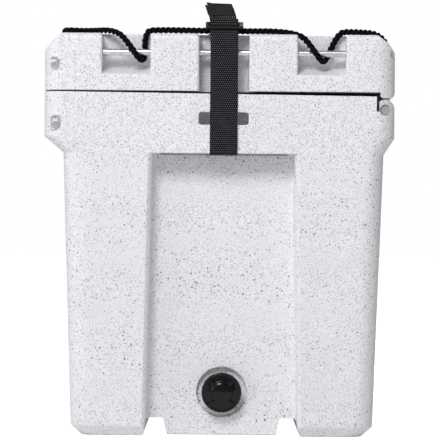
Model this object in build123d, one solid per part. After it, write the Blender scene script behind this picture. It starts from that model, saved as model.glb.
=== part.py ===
from build123d import *
import math
import os

os.makedirs("parts", exist_ok=True)

# A double-walled picnic chest. X runs from the latches (-) to the hinge (+), Y runs along the chest
# with the drain at -Y, and Z is up. Sizes are in millimetres.

# Overall outline
length = 650.0  # over the two end faces
rim_depth = 410.0  # over the front and rear rims
rim_height = 402.0  # top of the rim at the front
rim_fall = 3.4  # the rim is this much lower at the rear
skirt_drop = 52.0  # the rim's outer face ends this far below its top, and slopes in below
ledge_drop = 71.0  # the underside of the lifting ledges and of the rims, below the rim's top
front_rim = 22.5  # the front rim stands out this far from the tub, just under the rims
rear_rim = 12.5  # and the rear rim this far
draft = 1.8  # slope of the outer and inner walls, in degrees
corner = 23.0  # upright corners
foot_chamfer = 12.0
wall = 4.0  # thickness of each moulded skin

# Cavity
end_wall = 61.0  # both skins and the foam between them, at the ends
side_wall = 37.5  # and at the front and the rear
cavity_corner = 30.0
floor_height = 37.5

# Lid
lid_gap = 1.6  # the lid's underside clears the front of the rim by this
lid_height = 67.0
lid_chamfer_wide = 21.0
lid_chamfer_mid = 7.0
lid_chamfer_high = 21.0
lid_chamfer_knee = 11.7
lid_end_round = 7.0
lobe_drop = 6.6  # the lid's rear edge hangs this far below its underside
plug_drop = 11.6  # the lid's inner panel hangs this far into the cavity
plug_gap = 4.0
edge_round = 3.0

# Strap channel and rope notches in the lid's edge
channel_width = 58.0
notch_depth = 27.0
notch_width = 56.0
notch_offset = 114.0  # middle of each end notch from the middle of the tub
side_notch_width = 44.0
outer_notch_inset = 63.0  # middle of each outer side notch from the end face
inner_notch = 68.0  # middle of each inner side notch from the middle of the chest
notch_slope = 9.0

# Rods
rod_radius = 4.0
rod_fit = 0.2
end_rod_drop = 22.1  # below the lid's top
end_rod_inset = 12.0
side_rod_drop = 37.4
side_rod_inset = 12.5
body_rod_drop = 38.0  # below the rim's top
body_rod_inset = 14.3
rear_rod_blind = 24.0  # the rear rod's bore stops this far short of the drain end
screw_head_radius = 5.2
screw_head_thick = 2.6
screw_pocket_depth = 7.0
screw_pocket_width = 11.6
screw_pocket_high = 17.0

# Hinge
pin_inset = 12.1
pin_drop = 18.8  # below the rim's top
ear_radius = 12.1
ear_wall = 22.0  # from the rim's rear face to the wall that the ear stands behind
ear_groove = 3.2
knuckle_length = 150.0
knuckle_inset = 147.0  # middle of each knuckle from the end face
knuckle_radius = 11.0
knuckle_gap = 0.8
knuckle_clear = 1.6
bush_wall = 1.2
hinge_screw_recess = 6.4

# Latches
latch_inset = 160.0  # middle of each latch from the end face
latch_width = 46.0
latch_recess_width = 58.0
latch_recess_depth = 27.0
latch_strap_thick = 6.2
latch_eye_wall = 4.6
latch_clear = 0.4
latch_hook_thick = 6.0
latch_tab_height = 15.0

# Lifting ledge, strap slot and end recess
recess_depth = 30.0
recess_width_top = 166.0
recess_width_bottom = 178.0
recess_round = 7.0
recess_flare = 4.5  # the recess's upright edges open out by this much at the end face
recess_flare_round = 8.0
web_thick = 11.0
pocket_room = 21.0
pocket_width = 150.0
pocket_drop = 16.0  # below the rim's top
slot_width = 58.0
slot_high = 14.4
slot_drop = 30.4  # middle of the slot below the rim's top

# Channels under the floor
groove_offset = 78.0
groove_mouth = 28.0
groove_top = 19.0
groove_high = 20.4

# Drain
drain_height = 51.0
counterbore_radius = 29.5
counterbore_depth = 5.0
drain_bore = 7.5
drain_tube_radius = 10.0
drain_neck_radius = 15.0
drain_neck_long = 9.5
drain_flange_radius = 20.5
drain_flange_thick = 3.0
drain_washer_thick = 1.5
drain_nut_radius = 13.0
drain_nut_thick = 7.0
cap_radius = 23.5
cap_thick = 4.0
cap_dome_radius = 13.5
cap_dome_high = 2.6
cap_skirt_wall = 4.0
cap_skirt_long = 7.0
cap_seal_thick = 1.5
thread_clear = 0.4
rib_count = 4
rib_wide = 4.2

# Gasket
gasket_width = 12.0
gasket_from_cavity = 12.0
gasket_clear = 0.3
gasket_groove = 3.0

# Webbing
web_width = 32.5
web_gauge = 2.0
web_clear = 0.4
buckle_width = 44.0
buckle_length = 28.0
buckle_bar = 3.0
buckle_tilt = 16.0

buckle_thick = 3.4
buckle_rail = 5.0
buckle_front = 2.0  # the buckle's front bar stands this far inside the end face
buckle_lift = 6.7  # and this far above the lid
# the slack in the lid strap, as distance from the end face and height above the lid
strap_arch = [(31, 19.5), (44, 28.5), (63, 32.5), (85, 29.5), (111, 14), (129, 3.5), (145, 1.5)]
tail_reach = 93.0  # the strap's tail ends this far from the end face

# Rope, which passes down outside a rod in each notch, under it and up inside it
rope_diameter = 8.0
rope_ease = 1.0875  # the rope's line round a rod, as a share of the two radii together
rope_over = 4.7  # from the lid's top to the rope's line
splice_length = 46.0
splice_radius = 6.4
splice_inset = 24.0
splice_lead = 11.0  # the rope runs straight for this far out of the splice
rope_press = 4.4  # the buckles hold the rope down to this far above the lid's top

# Values that follow from the ones above
rope_wrap = rope_ease * (rod_radius + rope_diameter / 2)
slope = math.tan(math.radians(draft))
lid_bottom = rim_height + lid_gap
lid_top = lid_bottom + lid_height
half_length = length / 2
half_depth = rim_depth / 2
rim_skirt = rim_height - skirt_drop
ledge = rim_height - ledge_drop
tub_depth = rim_depth - front_rim - rear_rim
tub_offset = (front_rim - rear_rim) / 2  # the tub's middle lies this far behind the rims' middle
cavity_length = length - 2 * end_wall
cavity_depth = tub_depth - 2 * side_wall
outer_notch = half_length - outer_notch_inset
side_notches = (-outer_notch, -inner_notch, inner_notch, outer_notch)
body_rod_height = rim_height - body_rod_drop
pin_height = rim_height - pin_drop
knuckle_middle = half_length - knuckle_inset
latch_middle = half_length - latch_inset
pocket_top = rim_height - pocket_drop
slot_middle = rim_height - slot_drop
tail_end = -half_length + tail_reach
pin_x = half_depth - pin_inset
rim_tilt = math.degrees(math.atan2(rim_fall, rim_depth))
lid_rod_x = half_depth - side_rod_inset
lid_rod_z = lid_top - side_rod_drop
end_rod_y = half_length - end_rod_inset
end_rod_z = lid_top - end_rod_drop
body_rod_x = half_depth - body_rod_inset
recess_floor = half_length - recess_depth
rod_end = half_length - screw_pocket_depth
rear_rod_start = half_length - rear_rod_blind - 0.5
reach = 40.0  # how far a cutter runs past the surface that it cuts


def drop(z):
    """How far a drafted wall has come in at a height below the ledges."""
    return (ledge - z) * slope


def flat_section(depth, long, middle, z, radius):
    """A rounded rectangle lying flat at a height."""
    return Pos(middle, 0, z) * RectangleRounded(depth, long, radius)


def block(x0, x1, y0, y1, z0, z1):
    """A box given by its two corners."""
    return Pos((x0 + x1) / 2, (y0 + y1) / 2, (z0 + z1) / 2) * Box(x1 - x0, y1 - y0, z1 - z0)


def rod_y(x, z, radius, y0, y1):
    """A cylinder along Y."""
    return Pos(x, (y0 + y1) / 2, z) * Rot(90, 0, 0) * Cylinder(radius, y1 - y0)


def rod_x(y, z, radius, x0, x1):
    """A cylinder along X."""
    return Pos((x0 + x1) / 2, y, z) * Rot(0, 90, 0) * Cylinder(radius, x1 - x0)


def prism_y(points, y0, y1):
    """A polygon in X and Z, drawn out along Y."""
    face = make_face(Plane.XZ * Polyline(*points, close=True))
    return Pos(0, y0, 0) * extrude(face, y1 - y0, dir=(0, 1, 0))


def prism_x(points, x0, x1):
    """A polygon in Y and Z, drawn out along X."""
    face = make_face(Plane.YZ * Polyline(*points, close=True))
    return Pos(x0, 0, 0) * extrude(face, x1 - x0, dir=(1, 0, 0))


def both_ends(shape):
    """A shape at the drain end and its mirror image at the other end."""
    return shape + mirror(shape, Plane.XZ)


def tub_outside(grow=0.0):
    """The outside of the body, up to above the rim; a positive grow makes it smaller all round."""
    def level(z, depth, long, middle, inset=0.0):
        cut = 2 * (grow + inset)
        return flat_section(depth - cut, long - cut, middle, z, corner - min(grow, corner / 2))
    base = drop(0.0)
    chamfer_drop = drop(foot_chamfer)
    levels = [
        level(grow, tub_depth, length, tub_offset, base + foot_chamfer),
        level(grow + foot_chamfer, tub_depth, length, tub_offset, chamfer_drop),
        level(ledge, tub_depth, length, tub_offset),
        level(rim_skirt, rim_depth, length, 0.0),
        level(rim_height, rim_depth, length, 0.0),
    ]
    return loft(levels, ruled=True)


def above_rim(lower=0.0):
    """Everything above the sloping top of the rim."""
    lid_side = Pos(rim_depth, 0, reach) * Box(2 * rim_depth, 2 * length, 2 * reach)
    return Pos(-half_depth, 0, rim_height - lower) * Rot(0, rim_tilt, 0) * lid_side


def cavity(grow=0.0):
    """The food space, open at the top; grow makes it larger all round."""
    def level(z, inset):
        cut = 2 * (grow - inset)
        return flat_section(cavity_depth + cut, cavity_length + cut, tub_offset, z, cavity_corner)
    bottom = floor_height - grow
    return loft([level(bottom, drop(bottom) * cavity_depth / tub_depth), level(rim_height + reach, 0.0)])


def end_recess(grow=0.0):
    """The tall recess in one end face, under the lifting ledge."""
    def level(z, width, inset):
        half, flare = width / 2 + grow, recess_flare
        floor, face = -(recess_floor - inset - grow), -(half_length - inset)
        left = [(-half - flare, face - reach), (-half - flare, face), (-half, face + flare), (-half, floor)]
        flat = make_face(Polyline(*left, *[(-x, y) for x, y in reversed(left)], close=True))
        flat = fillet(flat.vertices().sort_by(Axis.Y)[-2:], recess_round)
        mouth = [v for v in flat.vertices() if abs(v.Y - face - flare) < 0.01]
        return Pos(tub_offset, 0, z) * fillet(mouth, recess_flare_round)
    lower = level(-1.0, recess_width_bottom, drop(-1.0))
    return loft([lower, level(ledge + grow, recess_width_top, 0)], ruled=True)


def finger_pocket():
    """The hand hold that rises behind the ledge's front wall."""
    outer = half_length - web_thick
    inner, half = outer - pocket_room, pocket_width / 2
    hold = block(tub_offset - half, tub_offset + half, -outer, -inner, ledge - 1.0, pocket_top)
    return fillet(hold.edges().filter_by(Axis.X).group_by(Axis.Z)[-1], 6.0)


def strap_slot():
    """The slot through the ledge's front wall."""
    flat = Plane.XZ * RectangleRounded(slot_width, slot_high, 3.0)
    cutter = extrude(flat, web_thick + reach, dir=(0, -1, 0))
    return Pos(tub_offset, -(half_length - web_thick - 1), slot_middle) * cutter


def floor_grooves(grow=0.0):
    """The two channels under the floor, from end to end."""
    mouth, top, high = groove_mouth / 2 + grow, groove_top / 2 + grow, groove_high + grow
    cutters = None
    for side in (-1, 1):
        x = tub_offset + side * groove_offset
        points = [(x - mouth, -1.0), (x + mouth, -1.0), (x + top, high), (x - top, high)]
        groove = prism_y(points, -length, length)
        groove = fillet(groove.edges().filter_by(Axis.Y).group_by(Axis.Z)[-1], 4.0)
        cutters = groove if cutters is None else cutters + groove
    return cutters


def latch_recesses(z0, z1, grow=0.0):
    """Upright recesses in the front face, one at each latch."""
    half = latch_recess_width / 2 + grow
    back = -half_depth + latch_recess_depth + grow
    pair = None
    for y in (-latch_middle, latch_middle):
        one = block(-half_depth - reach, back, y - half, y + half, z0 - grow, z1)
        one = fillet(one.edges().filter_by(Axis.Z).group_by(Axis.X)[-1], 4.0)
        pair = one if pair is None else pair + one
    return pair


def knuckle_space(grow=0.0):
    """Room in the rear rim for the lid's two hinge knuckles."""
    radius = knuckle_radius + knuckle_clear + grow
    half = knuckle_length / 2 + knuckle_gap + grow
    room = None
    for y in (-knuckle_middle, knuckle_middle):
        round_part = rod_y(pin_x, pin_height, radius, y - half, y + half)
        tall = block(pin_x - radius, half_depth + reach, y - half, y + half, pin_height, rim_height + reach)
        behind = block(pin_x, half_depth + reach, y - half, y + half, pin_height - radius, pin_height + 1)
        one = round_part + tall + behind
        room = one if room is None else room + one
    return room


def drain_axis(radius, y0, y1):
    """A cylinder on the drain's axis, between two distances from the counterbore's floor."""
    floor = -(half_length - drop(drain_height) - recess_depth - counterbore_depth)
    return rod_y(tub_offset, drain_height, radius, floor - y1, floor - y0)


def screw_pockets(x, z, high):
    """A rounded pocket in each end face, around the end of a rod."""
    flat = Plane.XZ * RectangleRounded(screw_pocket_width, high, 4.0)
    one = Pos(x, -(half_length - screw_pocket_depth), z) * extrude(flat, reach, dir=(0, -1, 0))
    return both_ends(one)


def body_outside():
    """The outside of the body with every recess, and no hollow inside."""
    shape = tub_outside()
    shape -= block(half_depth - ear_wall, half_depth + reach, -length, length, pin_height, rim_height + 1)
    shape += rod_y(pin_x, pin_height, ear_radius, -half_length, half_length) & tub_plan()
    groove_x = half_depth - ear_wall
    shape -= block(groove_x, groove_x + ear_groove, -length, length, pin_height - 2, rim_height)
    shape -= both_ends(end_recess())
    shape -= floor_grooves()
    shape -= latch_recesses(ledge - 1, rim_height + reach)
    shape -= both_ends(strap_slot())
    shape = round_body_edges(shape)
    shape -= knuckle_space()
    return shape - above_rim()


def lies_at(edge, axis, place):
    """Whether an edge lies in one plane square to an axis, on either side of the middle."""
    box = edge.bounding_box()
    low, high = getattr(box.min, axis), getattr(box.max, axis)
    return abs(high - low) < 0.01 and abs(abs(low) - place) < 0.01


def round_body_edges(shape):
    """The body with soft edges round its foot, latch recesses, strap slots and skirt."""
    upright = [e for e in shape.edges() if lies_at(e, "X", half_depth) and e.bounding_box().size.Z > 20]
    shape = fillet([e for e in upright if abs(e.center().Y) < half_length - corner - 1], edge_round)
    shape = fillet([e for e in shape.edges() if lies_at(e, "Z", 0)], edge_round)
    shape = fillet([e for e in shape.edges() if lies_at(e, "Z", foot_chamfer)], 2 * edge_round)
    at_end = [e for e in shape.edges() if lies_at(e, "Y", half_length)]
    in_slot = [e for e in at_end if abs(e.center().Z - slot_middle) < slot_high]
    return fillet([e for e in in_slot if abs(e.center().X - tub_offset) < slot_width / 2 + 1], edge_round / 2)


def tub_plan():
    """The rim's outline in plan, as a tall block."""
    return extrude(flat_section(rim_depth, length, 0.0, 0.0, corner), lid_top + reach, dir=(0, 0, 1))


def body_bores():
    """Bores and pockets for the body's two rods."""
    bores = rod_y(pin_x, pin_height, rod_radius + rod_fit, -length, length)
    pocket_floor = -half_length + screw_pocket_depth
    bores += both_ends(rod_y(pin_x, pin_height, hinge_screw_recess, -length, pocket_floor))
    bores += rod_y(-body_rod_x, body_rod_height, rod_radius + rod_fit, -length, length)
    return bores + screw_pockets(-body_rod_x, body_rod_height + 0.5, screw_pocket_high + 2)


def body_core():
    """The space between the body's two skins, which the foam fills."""
    shape = tub_outside(wall)
    top, side = rim_height - rim_fall - 2 * wall, half_depth - ear_wall - wall
    shape -= block(-length, length, -length, length, top, rim_height + reach)
    shape -= block(side, length, -length, length, ledge, top)
    shape -= block(-length, -side, -length, length, ledge, top)
    shape -= cavity(wall)
    shape -= both_ends(end_recess(wall))
    shape -= floor_grooves(wall)
    shape -= latch_recesses(ledge - 1, rim_height, wall)
    half, behind_web = pocket_width / 2 + wall, half_length - web_thick - pocket_room - wall
    solid_web = block(tub_offset - half, tub_offset + half, -length, -behind_web, ledge, rim_height)
    shape -= both_ends(solid_web)
    shape -= drain_axis(counterbore_radius + wall, -wall, counterbore_depth + reach)
    return shape - drain_axis(drain_flange_radius, -length / 4, 0)


def body_shell():
    shape = body_outside() - both_ends(finger_pocket())
    shape -= cavity()
    shape -= body_core()
    shape -= drain_axis(counterbore_radius, 0.0, counterbore_depth + reach)
    shape -= drain_axis(drain_tube_radius + rod_fit, -length / 4, 1.0)
    return shape - body_bores()


def lid_profile():
    """The lid seen from its end, with its chamfered long edges and its hanging rear lobe."""
    low, high, edge = lid_bottom, lid_top, half_depth
    front = [
        (-edge, low),
        (-edge, lid_top - lid_chamfer_high),
        (-edge + lid_chamfer_mid, lid_top - lid_chamfer_knee),
        (-edge + lid_chamfer_wide, high),
    ]
    rear = [(-x, z) for x, z in reversed(front)]
    return front + rear


def lid_lobe():
    """The rounded lip along the lid's rear lower edge."""
    low, rear = lid_bottom - lobe_drop, half_depth
    points = [(rear, lid_bottom + 6), (rear, lid_bottom), (rear - 2.2, low + 1.6), (rear - 5.4, low)]
    points += [(rear - 15, low), (rear - 17.5, low + 2.4), (rear - 17.5, lid_bottom + 6)]
    return prism_y(points, -half_length, half_length)


def lid_side_view():
    """The lid seen from the front, with rounded upper ends, drawn out over its depth."""
    flat = Rectangle(length, lid_height + lobe_drop + ear_radius * 3)
    flat = fillet(flat.vertices().group_by(Axis.Y)[-1], lid_end_round)
    face = Plane.YZ * flat
    middle = lid_top - (lid_height + lobe_drop + ear_radius * 3) / 2
    return Pos(-length, 0, middle) * extrude(face, 2 * length, dir=(1, 0, 0))


def end_notches():
    """The strap channel and the two rope notches in the lid's end at the drain."""
    back, face = -half_length + notch_depth, -half_length - reach
    floor = end_rod_z - rod_radius - rope_diameter - 5.0
    low = floor - notch_slope * (notch_depth + reach) / notch_depth
    half = channel_width / 2
    cut = block(tub_offset - half, tub_offset + half, face, back, lid_bottom - 1, lid_top + reach)
    cut = fillet(cut.edges().filter_by(Axis.Z).group_by(Axis.Y)[-1], 4.0)
    for side in (-1, 1):
        x = tub_offset + side * notch_offset
        points = [(back, lid_top + reach), (back, floor), (face, low), (face, lid_top + reach)]
        notch = prism_x(points, x - notch_width / 2, x + notch_width / 2)
        cut += fillet(notch.edges().filter_by(Axis.X).group_by(Axis.Y)[-1].group_by(Axis.Z)[0], 5.0)
    return cut


def side_notch_cuts():
    """The rope notches along the lid's front and rear edges."""
    back, face = -half_depth + notch_depth, -half_depth - reach
    floor = lid_rod_z - rod_radius - rope_diameter - 4.0
    low = floor - notch_slope / 2 * (notch_depth + reach) / notch_depth
    cut = None
    for y in side_notches:
        points = [(back, lid_top + reach), (back, floor), (face, low), (face, lid_top + reach)]
        notch = prism_y(points, y - side_notch_width / 2, y + side_notch_width / 2)
        cut = notch if cut is None else cut + notch
    return cut + mirror(cut, Plane.YZ)


def lid_knuckles():
    """The lid's two hinge knuckles, which reach down round the hinge rod."""
    both = None
    for y in (-knuckle_middle, knuckle_middle):
        y0, y1 = y - knuckle_length / 2, y + knuckle_length / 2
        eye = rod_y(pin_x, pin_height, knuckle_radius, y0, y1)
        arm = block(pin_x - 7.5, pin_x + knuckle_radius - 1, y0, y1, pin_height, lid_bottom + 3)
        both = eye + arm if both is None else both + eye + arm
    return both


def lid_outside():
    """The lid's outer skin, solid, with its edges and notches."""
    shape = prism_y(lid_profile(), -half_length, half_length) + lid_lobe()
    shape = shape & lid_side_view() & tub_plan()
    shape -= both_ends(end_notches())
    shape -= side_notch_cuts()
    shape -= latch_recesses(lid_bottom - 1, lid_top + reach)
    on_end = [e for e in shape.edges() if lies_at(e, "Y", half_length) and not lies_at(e, "Z", lid_bottom)]
    on_end = [e for e in on_end if e.bounding_box().max.Z > lid_bottom + 1]
    on_top = [e for e in shape.edges() if lies_at(e, "Z", lid_top)]
    return fillet(on_end + on_top, edge_round)


def lid_plug(grow=0.0):
    """The inner panel that hangs into the top of the cavity."""
    cut = 2 * (plug_gap + grow)
    flat = flat_section(cavity_depth - cut, cavity_length - cut, tub_offset, 0, cavity_corner - plug_gap)
    return Pos(0, 0, lid_bottom - plug_drop + grow) * extrude(flat, plug_drop + 2 * wall)


def lid_core():
    """The space inside the lid, which the foam fills."""
    edge_x = half_depth - notch_depth - wall
    edge_y = half_length - notch_depth - wall
    shape = block(-edge_x, edge_x, -edge_y, edge_y, lid_bottom + wall, lid_top - wall)
    shape -= latch_recesses(lid_bottom - 1, lid_top + reach, wall)
    inset = 2 * (plug_gap + wall)
    plug = flat_section(cavity_depth - inset, cavity_length - inset, tub_offset, 0, 20)
    return shape + Pos(0, 0, lid_bottom - plug_drop + wall) * extrude(plug, plug_drop + 1)


def gasket_ring(z0, z1, clear=0.0):
    """A flat ring around the cavity's mouth."""
    inner = 2 * (gasket_from_cavity - clear)
    outer = 2 * (gasket_from_cavity + gasket_width + clear)
    ring = flat_section(cavity_depth + outer, cavity_length + outer, tub_offset, z0, cavity_corner + 20)
    ring -= flat_section(cavity_depth + inner, cavity_length + inner, tub_offset, z0, cavity_corner + 9)
    return extrude(ring, z1 - z0)


def lid_shell():
    shape = lid_outside() + lid_knuckles() + lid_plug()
    shape -= lid_core()
    shape -= gasket_ring(lid_bottom - 1, lid_bottom + gasket_groove)
    shape -= rod_y(pin_x, pin_height, rod_radius + bush_wall + rod_fit, -length, length)
    shape -= rod_y(-lid_rod_x, lid_rod_z, rod_radius + rod_fit, -length, length)
    shape -= screw_pockets(-lid_rod_x, lid_rod_z, screw_pocket_high)
    shape -= rod_y(lid_rod_x, lid_rod_z, rod_radius + rod_fit, rear_rod_blind - half_length, length)
    shape -= rod_y(lid_rod_x, lid_rod_z, hinge_screw_recess, half_length - screw_pocket_depth, length)
    for y in (-end_rod_y, end_rod_y):
        shape -= rod_x(y, end_rod_z, rod_radius + rod_fit, -half_depth + 19.0, half_depth + reach)
    return shape


def lid_gasket():
    return gasket_ring(rim_height - rim_fall - 3, lid_bottom + gasket_groove) - below_rim()


def below_rim():
    """Everything below the top of the rim, with a little clearance."""
    slab = Pos(rim_depth, 0, -reach) * Box(2 * rim_depth, 2 * length, 2 * reach)
    return Pos(-half_depth, 0, rim_height + gasket_clear) * Rot(0, rim_tilt, 0) * slab


def rod_with_length(x, z, y0, y1):
    """A drawn rod along Y with broken edges."""
    rod = rod_y(x, z, rod_radius, y0, y1)
    return chamfer(rod.edges().filter_by(GeomType.CIRCLE), 0.6)


def end_rod(side):
    """A rope rod across one end of the lid, pushed in from the rear."""
    rod = rod_x(side * end_rod_y, end_rod_z, rod_radius, -half_depth + 19.5, half_depth - 20.0)
    return chamfer(rod.edges().filter_by(GeomType.CIRCLE), 0.6)


def rod_screw(x, z, side):
    """A pan-head screw in the end of a rod, with a cross recess."""
    seat = rod_end
    head = rod_y(x, z, screw_head_radius, -seat - screw_head_thick, -seat)
    head = fillet(head.edges().group_by(Axis.Y)[0], 1.2)
    for turn in (0, 90):
        bar = Rot(0, 45 + turn, 0) * Box(5.6, 1.8, 1.1)
        head -= Pos(x, -seat - screw_head_thick, z) * bar
    return head if side < 0 else mirror(head, Plane.XZ)


def screw_group(x, z, sides):
    """The screws in the ends of one rod."""
    return Compound([rod_screw(x, z, side) for side in sides])


def hinge_bushes():
    """A split bush in each end of each lid knuckle."""
    bushes = []
    for y in (-knuckle_middle, knuckle_middle):
        for end in (-1, 1):
            y0 = y + end * (knuckle_length / 2) - (20.0 if end > 0 else 0.0)
            tube = rod_y(pin_x, pin_height, rod_radius + bush_wall + rod_fit / 2, y0, y0 + 20.0)
            bushes.append(tube - rod_y(pin_x, pin_height, rod_radius + rod_fit / 2, y0 - 1, y0 + 21.0))
    return Compound(bushes)


def latch(y):
    """A moulded rubber latch: an eye on the body's rod, a strap, and a hook over the lid's rod."""
    eye = rod_radius + latch_eye_wall
    front = -half_depth + 0.8
    back = front + latch_strap_thick
    top = lid_rod_z + rod_radius + latch_clear
    tip = -lid_rod_x + rod_radius
    y0, y1 = y - latch_width / 2, y + latch_width / 2
    strap = [
        (front, body_rod_height - 4),
        (front, top + latch_hook_thick + latch_tab_height - 3),
        (front + 2.5, top + latch_hook_thick + latch_tab_height),
        (back, top + latch_hook_thick + latch_tab_height),
        (back, top + latch_hook_thick),
        (tip, top + latch_hook_thick),
        (tip, top),
        (back - 0.4, top),
        (back - 0.4, body_rod_height + eye + 6),
        (-body_rod_x + 2, body_rod_height + eye - 2),
        (-body_rod_x, body_rod_height - 4),
    ]
    shape = prism_y(strap, y0, y1) + rod_y(-body_rod_x, body_rod_height, eye, y0, y1)
    shape -= rod_y(-body_rod_x, body_rod_height, rod_radius + latch_clear, y0 - 1, y1 + 1)
    return shape


def drain_fitting():
    """The through-wall drain: a tube, a flange and an outer neck."""
    inner_wall = cavity_length / 2 - drop(drain_height) * cavity_depth / tub_depth
    depth = half_length - drop(drain_height) - recess_depth - counterbore_depth - inner_wall
    inner_end = depth + drain_nut_thick + 1.0
    shape = drain_axis(drain_tube_radius, -inner_end, drain_washer_thick)
    flange_top = drain_washer_thick + drain_flange_thick
    shape += drain_axis(drain_flange_radius, drain_washer_thick, flange_top)
    shape += drain_axis(drain_neck_radius, flange_top, flange_top + drain_neck_long)
    return shape - drain_axis(drain_bore, -inner_end - 1, flange_top + drain_neck_long + 1)


def drain_nut():
    """The round nut inside the cavity that clamps the drain."""
    inner_wall = cavity_length / 2 - drop(drain_height) * cavity_depth / tub_depth
    depth = half_length - drop(drain_height) - recess_depth - counterbore_depth - inner_wall
    nut = drain_axis(drain_nut_radius, -depth - drain_nut_thick, -depth - 0.6)
    nut -= drain_axis(drain_tube_radius, -length, length)
    return nut


def drain_washer():
    ring = drain_axis(drain_flange_radius + 0.8, 0, drain_washer_thick)
    return ring - drain_axis(drain_tube_radius, -1, drain_washer_thick + 1)


def cap_seal():
    """The sealing disc on the end of the drain's neck."""
    start = drain_washer_thick + drain_flange_thick + drain_neck_long
    return drain_axis(drain_neck_radius - 0.6, start, start + cap_seal_thick)


def drain_cap():
    """The round screw cap with a domed middle and four raised ribs."""
    inside = drain_washer_thick + drain_flange_thick + drain_neck_long + cap_seal_thick
    face = inside + cap_thick
    shape = drain_axis(cap_radius, inside, face)
    shape = fillet(shape.edges().group_by(Axis.Y)[0], 1.4)
    hollow = drain_axis(cap_radius - 2.6, face - 1.3, face + 1) - drain_axis(cap_dome_radius, 0, face + 2)
    shape -= hollow
    dome = drain_axis(cap_dome_radius, face - 1.5, face + cap_dome_high)
    shape += fillet(dome.edges().group_by(Axis.Y)[0], 1.8)
    middle = drain_axis(1.0, face - 1.3, face).center()
    for i in range(rib_count):
        turn = 45 + 360 / rib_count * i
        bar = Box(cap_radius - cap_dome_radius, 2.6, rib_wide)
        bar = Pos((cap_radius + cap_dome_radius) / 2 - 1.0, 0, 0) * bar
        shape += Pos(tub_offset, middle.Y, drain_height) * Rot(0, turn, 0) * bar
    skirt = drain_axis(drain_neck_radius + thread_clear + cap_skirt_wall, inside - cap_skirt_long, inside)
    skirt -= drain_axis(drain_neck_radius + thread_clear, inside - cap_skirt_long - 1, inside)
    return shape + skirt


def ribbon(points, width, lift=0.0):
    """A flat strap of one thickness that follows points in Y and Z, moved out by lift."""
    line = [Vector(0, y, z) for y, z in points]
    upper, lower = [], []
    for i, point in enumerate(line):
        before = (line[max(i, 1)] - line[max(i, 1) - 1]).normalized()
        ahead = (line[min(i + 1, len(line) - 1)] - line[min(i + 1, len(line) - 1) - 1]).normalized()
        way = (before + ahead).normalized()
        square = Vector(0, -way.Z, way.Y) / way.dot(before)
        upper.append(point + square * (lift + web_gauge / 2))
        lower.append(point + square * (lift - web_gauge / 2))
    outline = [(p.Y, p.Z) for p in upper + lower[::-1]]
    return prism_x(outline, tub_offset - width / 2, tub_offset + width / 2)


def buckle_line(along, lift=0.0):
    """A point on the buckle's middle plane, or above it, as Y and Z."""
    tilt = math.radians(buckle_tilt)
    y = -half_length + buckle_front + along * math.cos(tilt) - lift * math.sin(tilt)
    return (y, lid_top + buckle_lift + along * math.sin(tilt) + lift * math.cos(tilt))


def strap_loop():
    """The lower strap: through the slot, down behind the ledge, under it and up the end face."""
    outer, inner = -half_length - web_clear, -half_length + web_thick + web_clear
    x0, x1 = tub_offset - web_width / 2, tub_offset + web_width / 2
    low, high = ledge - web_clear, slot_middle + web_gauge / 2
    ring = block(x0, x1, outer - web_gauge, inner + web_gauge, low - web_gauge, high)
    ring -= block(x0 - 1, x1 + 1, outer, inner, low, high - web_gauge)
    riser_top = lid_top + buckle_lift - buckle_thick / 2 - web_clear
    return ring + block(x0, x1, outer - web_gauge, outer, low, riser_top)


def buckle():
    """A ladder buckle: two side rails and three bars, tilted over the lid's end."""
    frame = Box(buckle_width, buckle_length, buckle_thick)
    frame = fillet(frame.edges().filter_by(Axis.Z), 2.0)
    gap = (buckle_length - 3 * buckle_bar) / 2
    for side in (-1, 1):
        opening = Box(buckle_width - 2 * buckle_rail, gap, 2 * buckle_thick)
        frame -= Pos(0, side * (gap + buckle_bar) / 2, 0) * opening
    y, z = buckle_line(buckle_length / 2 - buckle_bar / 2)
    return Pos(tub_offset, y, z) * Rot(buckle_tilt, 0, 0) * frame


def strap_line():
    """The lid strap's line at the drain end, from the buckle over its slack arch to the lid."""
    rise = (buckle_thick + web_gauge) / 2 + web_clear
    start = [buckle_line(-0.5, rise), buckle_line(buckle_length - 6.0, rise)]
    return start + [(-half_length + y, lid_top + z) for y, z in strap_arch]


def lid_strap():
    """The upper strap, from buckle to buckle along the middle of the lid."""
    line = strap_line()
    return ribbon(line + [(-y, z) for y, z in reversed(line)], web_width)


def strap_tail():
    """The strap's free tail, which lies folded back over the arch."""
    line = [point for point in strap_line() if point[0] < tail_end]
    return ribbon(line[1:], web_width - 3.0, web_gauge + web_clear)


def rope_dip(place, half, top):
    """The rope's points at one notch: off the pad, outside the rod, under it, inside it and up again."""
    points = [
        (-half + 5.0, -2.0, top + 1.0),
        (-9.0, rope_wrap, rope_wrap - 1.0),
        (-3.0, rope_wrap, -rope_wrap),
        (3.0, -rope_wrap, -rope_wrap),
        (half - 9.0, -rope_wrap, top - 1.0),
        (half + 4.0, -rope_wrap - 1.5, top + 1.2),
    ]
    return [place(*point) for point in points]


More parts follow.
